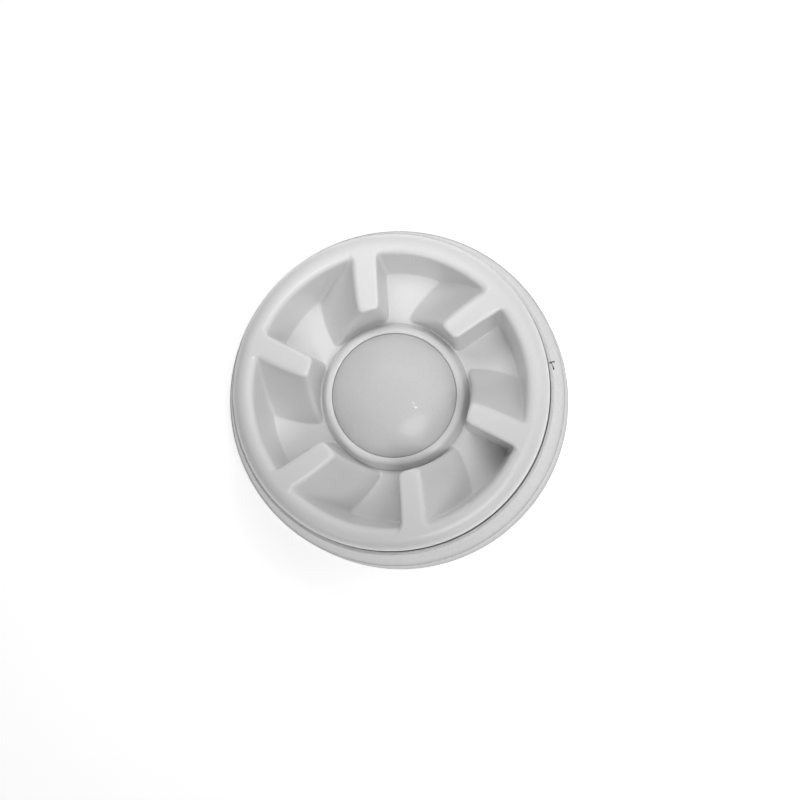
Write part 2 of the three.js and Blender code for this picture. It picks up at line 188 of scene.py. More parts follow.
# ---- Mounting base -------------------------------------------------------------------------
# A deep dish moulded in matt white plastic and screwed to the ceiling: an upright skirt, a
# sloping spark-eroded shoulder and a narrow lip round the head. Inside are pads, screw slots
# and bayonet hooks. Sizes are in millimetres and places round the axis in degrees.
LATHE_STEPS = 240
BASE_R = 51.0
BASE_TONE = (0.69, 0.69, 0.69)
# Painted shade near the table: between these heights the base's tone darkens towards its foot, down to
# this share.
TABLE_SHADE_Z = (2.0, 19.0)
TABLE_SHADE_TONE = 0.62
CABLE_HOLE_R = 11.0
PLATE_Z = 2.0
PAD_FOOT_Z = 1.5
PAD_Z = 2.6
SCREW_SLOT = (23, 34)
SCREW_SLOT_WIDTH = 4
SLOT_RECESS = (21.6, 35.4)
SLOT_RECESS_WIDTH = 7.4
CONTACT_R = 33.0
CLAMP_Y = -5.2
TERMINALS = {str(i + 1): (37 + 90 * i, CLAMP_Y) for i in range(4)}
TERMINALS["screen"] = (75, 0.0)
LUG_AT = (20, 140, 260)
TWIST = 18
MARK_WIDTH = 0.36
MARK_THICKNESS = 0.56
MARK_POINTS = [(47.17, 23.9, 10.6), (46.12, 27.3, 10.05), (46.66, 26.1, 7.8)]
SHOULDER_OUT = Vector((0.83, 0.15, 0.54))


def put(tree, kind, inputs=None, **settings):
    """Adds a node. Each input is a value, or an output socket that is linked to it."""
    node = tree.nodes.new(kind)
    for name, value in settings.items():
        setattr(node, name, value)
    for key, value in (inputs or {}).items():
        if isinstance(value, bpy.types.NodeSocket):
            tree.links.new(value, node.inputs[key])
        else:
            node.inputs[key].default_value = value
    return node


def maths(tree, operation, a, b=0.0, c=0.0, clamp=False):
    inputs = {0: a, 1: b, 2: c}
    return put(tree, "ShaderNodeMath", inputs, operation=operation, use_clamp=clamp).outputs[0]


def spread(tree, value, low, high, to_low=0.0, to_high=1.0):
    """Carries a value from one range over to another, and no further."""
    inputs = {"Value": value, "From Min": low, "From Max": high, "To Min": to_low, "To Max": to_high}
    return put(tree, "ShaderNodeMapRange", inputs).outputs[0]


def new_group(name, inputs, outputs):
    tree = bpy.data.node_groups.new(name, "ShaderNodeTree")
    for label, kind in inputs:
        tree.interface.new_socket(label, in_out="INPUT", socket_type=kind)
    for label, kind in outputs:
        tree.interface.new_socket(label, in_out="OUTPUT", socket_type=kind)
    return tree, put(tree, "NodeGroupInput").outputs, put(tree, "NodeGroupOutput").inputs


def make_surface_detail():
    """Cloudy tone, fine grain, rare dark specks and polished, paler edges."""
    tree, given, result = new_group(
        "surface_detail",
        [("Color", "NodeSocketColor"), ("Mottle", "NodeSocketFloat"),
         ("Grain Scale", "NodeSocketFloat"), ("Grain Depth", "NodeSocketFloat"),
         ("Specks", "NodeSocketFloat"), ("Wear", "NodeSocketFloat")],
        [("Color", "NodeSocketColor"), ("Roughness Shift", "NodeSocketFloat"),
         ("Normal", "NodeSocketVector")],
    )
    place = put(tree, "ShaderNodeTexCoord").outputs["Object"]
    broad = put(tree, "ShaderNodeTexNoise", {"Vector": place, "Scale": 70, "Detail": 4}).outputs[0]
    fine = put(tree, "ShaderNodeTexNoise", {
        "Vector": place, "Scale": given["Grain Scale"], "Detail": 4, "Roughness": 0.62,
    }).outputs[0]
    cells = put(tree, "ShaderNodeTexVoronoi", {"Vector": place, "Scale": 420})
    dot = maths(tree, "LESS_THAN", cells.outputs["Distance"], 0.1)
    rare = maths(tree, "GREATER_THAN", cells.outputs["Color"], 0.86)
    speck = maths(tree, "MULTIPLY", maths(tree, "MULTIPLY", dot, rare), given["Specks"])
    edge = spread(tree, put(tree, "ShaderNodeNewGeometry").outputs["Pointiness"], 0.51, 0.56)
    worn = maths(tree, "MULTIPLY", edge, given["Wear"])
    cloud = maths(tree, "MULTIPLY", maths(tree, "SUBTRACT", broad, 0.5), given["Mottle"])
    grit = maths(tree, "MULTIPLY", maths(tree, "SUBTRACT", fine, 0.5), given["Mottle"])
    tone = maths(tree, "ADD", maths(tree, "MULTIPLY_ADD", grit, 1.6, 1.0), cloud)
    tone = maths(tree, "MULTIPLY", tone, maths(tree, "SUBTRACT", 1.0, speck))
    tone = maths(tree, "ADD", tone, maths(tree, "MULTIPLY", worn, 0.25))
    scaled = put(tree, "ShaderNodeVectorMath", {0: given["Color"], 3: tone}, operation="SCALE")
    tree.links.new(scaled.outputs[0], result["Color"])
    rough = maths(tree, "MULTIPLY_ADD", maths(tree, "ADD", broad, fine), 0.16, -0.16)
    rough = maths(tree, "SUBTRACT", rough, maths(tree, "MULTIPLY", worn, 0.3))
    tree.links.new(rough, result["Roughness Shift"])
    bump = put(tree, "ShaderNodeBump", {
        "Height": fine, "Distance": given["Grain Depth"], "Strength": 1.0,
    })
    tree.links.new(bump.outputs[0], result["Normal"])
    return tree


surface_detail = make_surface_detail()


def detailed(name, colour, roughness, mottle=0.05, scale=1500, depth=0.00002, specks=0.0, wear=0.3):
    """A material with the shared surface detail. Returns it, its tree, detail node and shader."""
    material, skin = node_material(name)
    tree = material.node_tree
    detail = put(tree, "ShaderNodeGroup", node_tree=surface_detail)
    values = {"Color": (*colour, 1), "Mottle": mottle, "Grain Scale": scale,
              "Grain Depth": depth, "Specks": specks, "Wear": wear}
    for key, value in values.items():
        detail.inputs[key].default_value = value
    tree.links.new(detail.outputs["Color"], skin.inputs["Base Color"])
    rough = maths(tree, "ADD", detail.outputs["Roughness Shift"], roughness, clamp=True)
    tree.links.new(rough, skin.inputs["Roughness"])
    tree.links.new(detail.outputs["Normal"], skin.inputs["Normal"])
    return material, tree, detail, skin


def scaled_tone(tree, tone, share):
    """A plain tone made darker or paler by a value that changes over the surface."""
    node = put(tree, "ShaderNodeVectorMath", {0: tone, 3: share}, operation="SCALE")
    return node.outputs[0]


def arc_points(r, z, radius, start, end, steps):
    """[r, z] points on an arc round a centre, for a profile."""
    a = np.radians(np.linspace(start, end, steps + 1))
    return [(r + radius * math.cos(t), z + radius * math.sin(t)) for t in a]


def lathe_rows(profile, angles):
    """Rows of points round the axis, one for each [r, z] of the profile."""
    rows = []
    for r, z in profile:
        rows.append(np.stack([r * np.cos(angles), r * np.sin(angles), np.full_like(angles, z)], -1))
    return rows


def grid_mesh(name, rows, ends="joined"):
    """A mesh through rows of points that go right round. The last row is joined to the first,
    or both are closed by a point in their middle."""
    points = np.concatenate(rows)
    count, wide = len(rows), len(rows[0])
    faces = []
    for i in range(count if ends == "joined" else count - 1):
        a, b = i * wide, ((i + 1) % count) * wide
        faces += [(a + j, b + j, b + (j + 1) % wide, a + (j + 1) % wide) for j in range(wide)]
    if ends == "capped":
        last = (count - 1) * wide
        points = np.concatenate([points, [rows[0].mean(0), rows[-1].mean(0)]])
        faces += [(count * wide, j, (j + 1) % wide) for j in range(wide)]
        faces += [(count * wide + 1, last + (j + 1) % wide, last + j) for j in range(wide)]
    mesh = bpy.data.meshes.new(name)
    mesh.from_pydata((points * MM).tolist(), [], faces)
    mesh.validate()
    face_out(mesh)
    mesh.shade_smooth()
    return mesh


def face_out(mesh):
    """Turns every face of a closed mesh outwards."""
    work = bmesh.new()
    work.from_mesh(mesh)
    bmesh.ops.recalc_face_normals(work, faces=work.faces)
    work.to_mesh(mesh)
    work.free()


def turned_mesh(name, profile, steps=LATHE_STEPS):
    """A turned mesh. A profile that starts on the axis is a capped solid, any other a ring."""
    turn = np.linspace(0, 2 * np.pi, steps, endpoint=False)
    on_axis = profile[0][0] == 0
    profile = profile[1:-1] if on_axis else profile
    return grid_mesh(name, lathe_rows(profile, turn), "capped" if on_axis else "joined")


def swept_mesh(name, profile, start, end, steps=12):
    """A closed [r, z] profile carried round the axis from one angle to another."""
    rows = []
    for a in np.radians(np.linspace(start, end, steps + 1)):
        rows.append(np.array([(r * math.cos(a), r * math.sin(a), z) for r, z in profile]))
    return grid_mesh(name, rows, "capped")


def soften(mesh, width, angle=30, segments=2):
    """Rounds the sharp edges of a mesh, width in millimetres."""
    work = bmesh.new()
    work.from_mesh(mesh)
    bmesh.ops.remove_doubles(work, verts=work.verts, dist=1e-6)
    bmesh.ops.dissolve_limit(
        work, angle_limit=math.radians(1), verts=work.verts, edges=work.edges
    )
    least = math.radians(angle)
    sharp = [e for e in work.edges if len(e.link_faces) == 2 and e.calc_face_angle() > least]
    bmesh.ops.bevel(
        work, geom=sharp, offset=width * MM, segments=segments, profile=0.5,
        affect="EDGES", clamp_overlap=True,
    )
    work.to_mesh(mesh)
    work.free()
    mesh.shade_smooth()
    return mesh


def box_mesh(name, x, y, z, edge=0.15):
    """A box between pairs of limits, its edges rounded."""
    mesh = bpy.data.meshes.new(name)
    corners = [(a * MM, b * MM, c * MM) for a in x for b in y for c in z]
    mesh.from_pydata(corners, [], [
        (0, 1, 3, 2), (4, 6, 7, 5), (0, 4, 5, 1), (2, 3, 7, 6), (0, 2, 6, 4), (1, 5, 7, 3),
    ])
    return soften(mesh, edge) if edge else mesh


def finished(piece, body, nodes, turn=0.0, flat=True):
    """Turns a piece into its place, attaches it to the body it rides on and hides the nodes it stands
    for.
    """
    piece.matrix_world = Matrix.Rotation(math.radians(turn), 4, "Z") @ piece.matrix_world
    if flat:
        piece.modifiers.new("even_shading", "WEIGHTED_NORMAL").weight = 80
    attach(piece, body)
    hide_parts(*nodes)
    return piece


def cut_mesh(mesh, cutters):
    """The mesh with the cutters, [mesh, turn] pairs, taken out of it."""
    body = add_object("cut_work", mesh)
    tools = bpy.data.collections.new("cut_tools")
    for cutter, turn in cutters:
        tool = bpy.data.objects.new("cut_tool", cutter)
        tool.matrix_world = Matrix.Rotation(math.radians(turn), 4, "Z")
        tools.objects.link(tool)
    bpy.context.scene.collection.children.link(tools)
    change = body.modifiers.new("cut", "BOOLEAN")
    change.operand_type = "COLLECTION"
    change.collection = tools
    change.solver = "EXACT"
    bpy.context.view_layer.update()
    ready = body.evaluated_get(bpy.context.evaluated_depsgraph_get())
    made = bpy.data.meshes.new_from_object(ready)
    made.name = mesh.name
    for tool in list(tools.objects):
        bpy.data.objects.remove(tool)
    bpy.data.collections.remove(tools)
    bpy.data.objects.remove(body)
    made.materials.clear()
    return made


def slot_mesh(r0, r1, width, z0, z1):
    """A slot with round ends along X, between two radii."""
    half = width / 2
    a = np.radians(np.linspace(-90, 90, 10))
    x = np.concatenate([r1 - half + half * np.cos(a), r0 + half - half * np.cos(a)])
    y = np.concatenate([half * np.sin(a), -half * np.sin(a)])
    rows = [np.stack([x, y, np.full_like(x, z)], -1) for z in (z0, z1)]
    return grid_mesh("slot_tool", rows, "capped")


def rod_mesh(radius, z0, z1, x, y=0.0):
    """An upright rod, for cutting a round hole."""
    mesh = turned_mesh("rod_tool", [(0, z0), (radius, z0), (radius, z1), (0, z1)], 32)
    mesh.transform(Matrix.Translation((x * MM, y * MM, 0)))
    return mesh


def make_base_mesh():
    """The dish, turned round its axis from the rim of the cable hole outwards and back inside."""
    profile = [(CABLE_HOLE_R, 3.4), (CABLE_HOLE_R, 0.3), (CABLE_HOLE_R + 0.3, 0), (20, 0)]
    profile += [(35, 0), (BASE_R - 0.5, 0)]
    profile += arc_points(BASE_R - 0.5, 0.5, 0.5, -80, 0, 4)
    profile += [(50.65, 5), (50.25, 10), (49.95, 14.0)]
    profile += arc_points(48.95, 14.2, 0.97, 5, 60, 6)
    profile += [(49.0, 16.9), (48.1, 20.3), (47.2, 23.8), (46.5, 26.6)]
    profile += arc_points(46.1, 26.95, 0.42, 10, 90, 5)
    profile += [(45.7, 27.4), (45.45, 27.2), (45.42, 25.5), (46.4, 21.5), (47.9, 14.5), (48.4, 2.4)]
    profile += [(48.0, PLATE_Z), (36, PLATE_Z), (20, PLATE_Z), (12.8, PLATE_Z), (12.4, 2.4)]
    profile += [(12.4, 3.4), (12.2, 3.6), (11.2, 3.6)]
    cutters = []
    for at in (0, 90, 180, 270):
        cutters.append((slot_mesh(*SCREW_SLOT, SCREW_SLOT_WIDTH, -1, 4), at))
        cutters.append((slot_mesh(*SLOT_RECESS, SLOT_RECESS_WIDTH, 1.4, 4), at))
    return cut_mesh(turned_mesh("mounting_base_dish", profile), cutters)


def hook_mesh(lug_at):
    """One bayonet hook: a wall, a ceiling over the lug, and the stop at the end of its turn."""
    start = lug_at - TWIST - 10
    arch = [(42.1, 11), (44.8, 11), (44.8, 1.5), (46.3, 1.5), (46.3, 13), (42.1, 13)]
    stop = [(42.1, 1.5), (44.9, 1.5), (44.9, 11.2), (42.1, 11.2)]
    hook = soften(swept_mesh("bayonet_hook", arch, start, lug_at - 9.5), 0.25)
    return hook, soften(swept_mesh("bayonet_stop", stop, start, start + 1.8, 2), 0.25)


def make_base_material():
    """Spark-eroded plastic, with painted shade that darkens it towards its foot, where it meets the
    table.
    """
    material, tree, detail, _ = detailed(
        "base_moulding", BASE_TONE, 0.4, mottle=0.2, scale=1150, depth=0.0003, specks=0.1, wear=0.35
    )
    place = put(tree, "ShaderNodeTexCoord").outputs["Object"]
    height = put(tree, "ShaderNodeSeparateXYZ", {0: place}).outputs[2]
    # Painted shade: the tone falls off towards the table the base stands on.
    table_shade = spread(tree, height, TABLE_SHADE_Z[0] * MM, TABLE_SHADE_Z[1] * MM, TABLE_SHADE_TONE, 1.0)
    tree.links.new(scaled_tone(tree, BASE_TONE, table_shade), detail.inputs["Color"])
    return material


base_plastic = make_base_material()


def base_piece(name, mesh, turn=0.0):
    piece = add_object(name, mesh, base_plastic)
    return finished(piece, "base", ["mounting_base"], turn)


base_piece("base_dish", make_base_mesh())
for i, lug_at in enumerate(LUG_AT):
    for part, mesh in zip(("hook", "stop"), hook_mesh(lug_at)):
        base_piece(f"bayonet_{part}_{i + 1}", mesh)
for label, (turn, y) in TERMINALS.items():
    if label == "screen":
        pads = [box_mesh("terminal_pad", (28.8, 37.2), (-4.2, 4.2), (PAD_FOOT_Z, PAD_Z), 0.25)]
    else:
        pads = [
            box_mesh("terminal_pad", (28.6, 37.4), (-9.4, 0.2), (PAD_FOOT_Z, PAD_Z), 0.25),
            box_mesh("terminal_pad", (30.5, 35.5), (6.4, 8.8), (PAD_FOOT_Z, PAD_Z), 0.25),
        ]
    pads[0] = cut_mesh(pads[0], [(rod_mesh(1.9, 0.7, 4, CONTACT_R, y), 0)])
    for i, pad in enumerate(pads):
        base_piece(f"terminal_pad_{label}_{i + 1}", pad, turn)


# The alignment mark: a small dark corner printed on the shoulder, just outside the gap. Each
# of its points is a radius, a height and an angle.
def mark_mesh(length):
    """One stroke of the mark, a flat bar along X."""
    half = (length + MARK_WIDTH) / 2
    side = (-MARK_WIDTH / 2, MARK_WIDTH / 2)
    return box_mesh("mark", (-half, half), side, (-MARK_THICKNESS / 2, MARK_THICKNESS / 2), 0.03)


def mark_place(radius, height, at):
    turn = math.radians(at)
    return Vector((radius * math.cos(turn), radius * math.sin(turn), height))


mark_ink, *_ = detailed("mark_ink", (0.05, 0.05, 0.05), 0.6, mottle=0.3, scale=4000, wear=0.0)
for i, (start, end) in enumerate(zip(MARK_POINTS, MARK_POINTS[1:])):
    start, end = mark_place(*start), mark_place(*end)
    along = end - start
    side = SHOULDER_OUT.cross(along).normalized()
    up = along.cross(side).normalized()
    mark = add_object(f"alignment_mark_{i + 1}", mark_mesh(along.length), mark_ink)
    mark.matrix_world = Matrix.Translation((start + end) / 2 * MM) @ (
        Matrix((along.normalized(), side, up)).transposed().to_4x4()
    )
    finished(mark, "base", ["mounting_base"])


# ---- Base terminals ------------------------------------------------------------------------
# Five nickel-plated strips lie on the pads, each under a square clamping washer and a zinc-plated
# cross-head screw. Four have an arched finger that touches the head's contact.
SCREW_STEPS = 48
CLAMP_HEAD_Z = 5.2
CLAMP_THREAD_STEP = 0.42
CLAMP_THREADS = 8
CROSS_HALF = 0.3


def refined(node, body, material, edge=0.12):
    """A copy of a CAD node with rounded edges and its own finish."""
    source = frame["nodes"][node]
    mesh = source.data.copy()
    mesh.materials.clear()
    mesh.transform(source.matrix_world)
    piece = add_object(f"{node}_shape", soften(mesh, edge), material)
    return finished(piece, body, [node])


def cross_cutters(length, z0, z1):
    """Two crossed bars that cut the recess of a screw's head."""
    x = (-length / 2, length / 2)
    y = (-CROSS_HALF, CROSS_HALF)
    return [(box_mesh("cross", x, y, (z0, z1), 0), turn) for turn in (0, 90)]


def metal(name, colour, roughness, scale):
    material, _, _, skin = detailed(
        name, colour, roughness, mottle=0.16, scale=scale, depth=0.000012, specks=0.35, wear=0.2
    )
    skin.inputs["Metallic"].default_value = 1
    return material


bpy.context.view_layer.update()
nickel = metal("contact_metal", (0.62, 0.57, 0.48), 0.3, 2200)
zinc = metal("screw_steel", (0.56, 0.58, 0.6), 0.36, 3200)


def clamp_screw_mesh():
    z = CLAMP_HEAD_Z
    profile = [(0, 1.2), (1.1, 1.2), (1.25, 1.4)]
    for i in range(CLAMP_THREADS):
        up = i * CLAMP_THREAD_STEP
        profile += [(1.45, 1.6 + up), (1.28, 1.81 + up)]
    profile += [(1.45, z), (2.3, z), (2.5, z + 0.2), (2.5, z + 1.1), (2.35, z + 1.35)]
    profile += [(1.9, z + 1.62), (1.3, z + 1.8), (0, z + 1.8)]
    shape = turned_mesh("clamp_screw_shape", profile, SCREW_STEPS)
    return cut_mesh(shape, cross_cutters(3.4, z + 0.9, 9))


clamp_screw = clamp_screw_mesh()
for label, (turn, y) in TERMINALS.items():
    refined(f"terminal_{label}", "base", nickel)
    refined(f"clamp_plate_{label}", f"clamp_{label}", zinc)
    screw = add_object(f"clamp_screw_{label}_shape", clamp_screw.copy(), zinc)
    screw.matrix_world = Matrix.Translation((CONTACT_R * MM, y * MM, 0))
    finished(screw, f"screw_{label}", [f"clamp_screw_{label}"], turn)


# ---- Draught seal --------------------------------------------------------------------------
# A ring of soft dark foam glued round the head's spigot. It closes the cable hole behind the
# head. Open cells show on its skin, and its corners are rounded over.
SEAL_MIDDLE_R = 19.0
SEAL_ROUND = 0.6
CELL_DEPTH = 0.07


def make_seal_mesh():
    profile = arc_points(17.2, 3.0, SEAL_ROUND, 180, 270, 4)
    profile += arc_points(20.3, 3.0, SEAL_ROUND, -90, 0, 4)
    profile += [(20.9, z) for z in np.linspace(3.6, 7.4, 6)]
    profile += arc_points(20.3, 8.0, SEAL_ROUND, 0, 90, 4)
    profile += arc_points(17.2, 8.0, SEAL_ROUND, 90, 180, 4)
    profile += [(16.6, z) for z in np.linspace(7.4, 3.6, 6)]
    mesh = turned_mesh("draught_seal_foam", profile, 360)
    rng = np.random.default_rng(7)
    for vertex in mesh.vertices:
        out = Vector((vertex.co.x, vertex.co.y, 0)).normalized()
        inward = 1 if vertex.co.xy.length > SEAL_MIDDLE_R * MM else -1
        vertex.co -= out * float(rng.uniform(0, CELL_DEPTH)) * MM * inward
    return mesh


def make_foam():
    """Dark open-celled foam, with pits between its cells."""
    material, tree, detail, skin = detailed(
        "seal_foam", (0.06, 0.062, 0.065), 0.93, mottle=0.35, scale=900, depth=0.0003, wear=0.0
    )
    place = put(tree, "ShaderNodeTexCoord").outputs["Object"]
    cells = put(tree, "ShaderNodeTexVoronoi", {"Vector": place, "Scale": 1300}).outputs["Distance"]
    pits = put(tree, "ShaderNodeBump", {
        "Height": cells, "Distance": 0.0004, "Normal": detail.outputs["Normal"],
    })
    tree.links.new(pits.outputs[0], skin.inputs["Normal"])
    return material


seal = add_object("draught_seal_foam", make_seal_mesh(), make_foam())
finished(seal, "seal", ["draught_seal"], flat=False)


# ---- Rear housing, contact blades and head screws ------------------------------------------
# The head's rear tray, moulded in dull off-white plastic, with a spigot for the seal and three
# bayonet lugs. Plated contact blades stand in its slits, and three screws hold it to the cover.
CONTACT_AT = (63, 153, 243, 333)
SLIT_Y = (1.8, 3.4)
HEAD_SCREW_R = 27.0
HEAD_SCREW_AT = (104, 224, 344)
HEAD_THREAD_STEP = 0.54
HEAD_THREADS = 22
LUG_HALF = 7

housing_plastic, *_ = detailed(
    "housing_moulding", (0.66, 0.66, 0.63), 0.52, mottle=0.06, scale=1800, depth=0.00004,
    specks=0.2, wear=0.3,
)


def make_housing_mesh():
    profile = [(0, 9), (14.6, 9), (14.7, 8.8), (14.8, 5.4), (15.0, 5.2), (16.0, 5.2), (16.2, 5.4)]
    profile += [(16.2, 9), (23, 9), (32, 9), (40.9, 9), (41.2, 9.1), (41.4, 9.4), (41.4, 11.5)]
    profile += [(41.4, 13.0), (41.2, 13.2), (40.1, 13.2), (39.9, 13.0), (39.9, 10.6), (39.7, 10.4)]
    profile += [(32, 10.4), (23, 10.4), (0, 10.4)]
    cutters = [(rod_mesh(1.75, 8, 12, HEAD_SCREW_R), at) for at in HEAD_SCREW_AT]
    for at in CONTACT_AT:
        slit = box_mesh("slit", (CONTACT_R - 3, CONTACT_R + 3), SLIT_Y, (8, 12), 0)
        cutters.append((slit, at))
    return cut_mesh(turned_mesh("rear_housing_tray", profile), cutters)


tray = add_object("rear_housing_tray", make_housing_mesh(), housing_plastic)
finished(tray, "head", ["rear_housing"])
for i, at in enumerate(LUG_AT):
    outline = [(40.8, 9), (44.3, 9), (44.3, 10.6), (40.8, 10.6)]
    lug_mesh = soften(swept_mesh("bayonet_lug", outline, at - LUG_HALF, at + LUG_HALF), 0.25)
    lug = add_object(f"bayonet_lug_{i + 1}", lug_mesh, housing_plastic)
    finished(lug, "head", ["rear_housing"])
for i in range(len(CONTACT_AT)):
    refined(f"contact_blade_{i + 1}", "head", nickel)


def head_screw_mesh():
    profile = [(0, 6.9), (1.5, 6.9), (2.1, 7.15), (2.5, 7.5), (2.7, 8.0), (2.7, 8.7), (1.3, 8.7)]
    for i in range(HEAD_THREADS):
        up = i * HEAD_THREAD_STEP
        profile += [(1.12, 8.95 + up), (1.3, 9.22 + up)]
    profile += [(0.9, 21.2), (0.3, 21.5), (0, 21.5)]
    shape = turned_mesh("head_screw_shape", profile, SCREW_STEPS)
    return cut_mesh(shape, cross_cutters(3.2, 6, 7.8))


head_screw = head_screw_mesh()
for i, at in enumerate(HEAD_SCREW_AT):
    screw = add_object(f"head_screw_{i + 1}_shape", head_screw.copy(), zinc)
    screw.matrix_world = Matrix.Translation((HEAD_SCREW_R * MM, 0, 0))
    finished(screw, "head", [f"head_screw_{i + 1}"], at)


# ---- Circuit board and what stands on it ---------------------------------------------------
# A round glass-fibre board under green lacquer, held in the tray. On it are flat chips on
# solder legs, a crystal, a capacitor, an indicator lamp and a glass reed switch.
BOARD_TOP_Z = 11.9
BOARD_GREEN = (0.02, 0.13, 0.06)
TRACE_GREEN = (0.05, 0.24, 0.10)
LEG_HALF = 0.17
LEG_HEIGHTS = (BOARD_TOP_Z + 0.02, BOARD_TOP_Z + 0.3)
LEG_REACH = (-0.1, 0.55)


def make_board_material():
    """Green lacquer, paler over the copper traces, which run one way or the other by patches."""
    material, tree, detail, _ = detailed(
        "circuit_board", BOARD_GREEN, 0.35, mottle=0.12, scale=2500, depth=0.00001, wear=0.0
    )
    place = put(tree, "ShaderNodeTexCoord").outputs["Object"]
    lines = []
    for direction in ("X", "Y"):
        wave = put(tree, "ShaderNodeTexWave", {"Vector": place, "Scale": 130}, bands_direction=direction)
        lines.append(maths(tree, "GREATER_THAN", wave.outputs["Fac"], 0.72))
    patches = put(tree, "ShaderNodeTexVoronoi", {"Vector": place, "Scale": 110}, distance="CHEBYCHEV")
    choice = maths(tree, "GREATER_THAN", patches.outputs["Color"], 0.5)
    trace = put(tree, "ShaderNodeMix", {0: choice, 2: lines[0], 3: lines[1]}).outputs[0]
    green = put(tree, "ShaderNodeMix", {0: trace}, data_type="RGBA")
    green.inputs[6].default_value = (*BOARD_GREEN, 1)
    green.inputs[7].default_value = (*TRACE_GREEN, 1)
    tree.links.new(green.outputs[2], detail.inputs["Color"])
    return material


epoxy, *_ = detailed("chip_plastic", (0.02, 0.02, 0.022), 0.5, mottle=0.2, scale=5000, wear=0.2)
glass_bead, *_ = detailed("thermistor_glass", (0.018, 0.02, 0.024), 0.2, mottle=0.2, scale=3000)
aluminium = metal("can_aluminium", (0.66, 0.67, 0.69), 0.32, 2600)
refined("circuit_board", "head", make_board_material(), 0.06)

# Each chip's node, slot, finish, width, depth, radius and angle of its place, and legs a side.
chips = [
    ("microcontroller", "chip_plastic", epoxy, 7.0, 7.0, 30.5, 84, 8),
    ("bridge_rectifier", "chip_plastic", epoxy, 5.0, 4.0, 31.0, 205, 2),
    ("voltage_regulator", "chip_plastic", epoxy, 4.6, 2.6, 31.0, 262, 3),
    ("surge_suppressor", "chip_plastic", epoxy, 4.6, 3.6, 31.0, 322, 1),
    ("reference_thermistor", "thermistor_glass", glass_bead, 1.6, 2.4, 34.0, 24, 1),
    ("crystal", "can_aluminium", aluminium, 5.0, 3.2, 31.5, 145, 1),
]
for node, finish_slot, look, wide, deep, radius, at, legs in chips:
    refined(node, "head", look, 0.1)
    for i in range(legs * 2):
        side = 1 if i % 2 else -1
        x = (i // 2 - (legs - 1) / 2) * (wide - 1.0) / max(legs, 2)
        reach = sorted(side * (deep / 2 + past) for past in LEG_REACH)
        leg_mesh = box_mesh("leg", (x - LEG_HALF, x + LEG_HALF), reach, LEG_HEIGHTS, 0.05)
        leg = add_object(f"{node}_leg_{i + 1}", leg_mesh, nickel)
        leg.matrix_world = (
            Matrix.Rotation(math.radians(at), 4, "Z") @ Matrix.Translation((radius * MM, 0, 0))
        )
        finished(leg, "head", [node])


def turned_piece(node, profile, material, x=0.0, y=0.0):
    piece = add_object(f"{node}_shape", turned_mesh(node, profile, 64), material)
    piece.matrix_world = Matrix.Translation((x * MM, y * MM, 0))
    return finished(piece, "head", [node])


can = [(0, 12.2), (2.8, 12.2), (3.05, 12.35), (3.1, 12.8), (2.92, 13.1), (3.1, 13.4), (3.1, 16.9)]
can += [(3.0, 17.3), (2.7, 17.5), (2.5, 17.42), (0, 17.42)]
turned_piece("storage_capacitor", can, aluminium, -8.5, -6.5)

lamp_plastic, _, _, lamp_skin = detailed(
    "led_plastic", (0.6, 0.03, 0.03), 0.14, mottle=0.08, scale=1200, depth=0.000005, wear=0.0
)
lamp_skin.inputs["Transmission Weight"].default_value = 0.45
lamp = [(0, 13.4), (1.8, 13.4), (1.9, 13.5), (1.9, 14.2), (1.8, 14.3), (1.55, 14.35), (1.5, 16.4)]
lamp_turns = np.radians((10, 25, 40, 55, 70, 83))
lamp += [(1.5 * math.cos(a), 16.5 + 1.5 * math.sin(a)) for a in lamp_turns]
lamp += [(0, 18.0)]
turned_piece("alarm_led", lamp, lamp_plastic, 9, 6)

reed_glass, _, _, reed_skin = detailed(
    "reed_glass", (0.72, 0.86, 0.8), 0.08, mottle=0.05, scale=800, depth=0.000004, wear=0.0
)
reed_skin.inputs["Transmission Weight"].default_value = 0.8
refined("reed_switch", "head", reed_glass, 0.15)


# ---- Thermistor ----------------------------------------------------------------------------
# A dark glass bead stands on two springy leads over a stem moulded in sand-coloured plastic,
# close under the dome.
BEAD_R = 1.2
BEAD_Z = 22.7

stem_plastic, *_ = detailed(
    "stem_plastic", (0.58, 0.53, 0.42), 0.55, mottle=0.08, scale=1900, depth=0.00003, specks=0.2
)
stem = [(0, 12.2), (3.1, 12.2), (3.2, 12.3), (3.2, 13.1), (3.05, 13.25), (1.9, 13.6), (1.7, 13.9)]
stem += [(1.4, 20.7), (1.25, 20.9), (0, 20.9)]
turned_piece("thermistor_stem", stem, stem_plastic)
bead = [(0, BEAD_Z - BEAD_R)]
for a in np.radians(range(8, 179, 10)):
    bead.append((BEAD_R * math.sin(a), BEAD_Z - BEAD_R * math.cos(a)))
bead.append((0, BEAD_Z + BEAD_R))
turned_piece("sensing_thermistor", bead, glass_bead)
for i in (1, 2):
    refined(f"thermistor_lead_{i}", "head", nickel, 0.02)


# ---- Front cover ---------------------------------------------------------------------------
# One shell moulded in satin white plastic: a round ring, six swept blades with a wall on one
# side and a twisted ramp on the other, and flat floors between them. Three screws hold it to
# the tray. Each blade line runs through two (radius, angle) points, for the blade at +Y.
COVER_TONE = (0.73, 0.73, 0.73)
FACE_Z = 35.0
FLOOR_Z = 15.2
COVER_R = 45.2
COVER_FOOT_Z = 13.6
COVER_ROUND = 4.2
FACE_EDGE_R = COVER_R - COVER_ROUND
POCKET_FOOT_R = 36.8
POCKET_TOP_R = 38.9
HUB_R = 22.4
COLLAR_HOLE_R = 21.9
COVER_WALL = 1.6
BLADES = 6
BLADE_STEP = 360 / BLADES
WALL_FOOT = ((18, 94.6), (38, 94.3))
WALL_TOP = ((18, 96.9), (40, 95.1))
EDGE_TOP = ((18, 112.7), (40, 104.6))
RAMP_FOOT = ((18, 145), (38, 127))
RAMP_CURL = 0.18
RAMP_POWER = 2.4
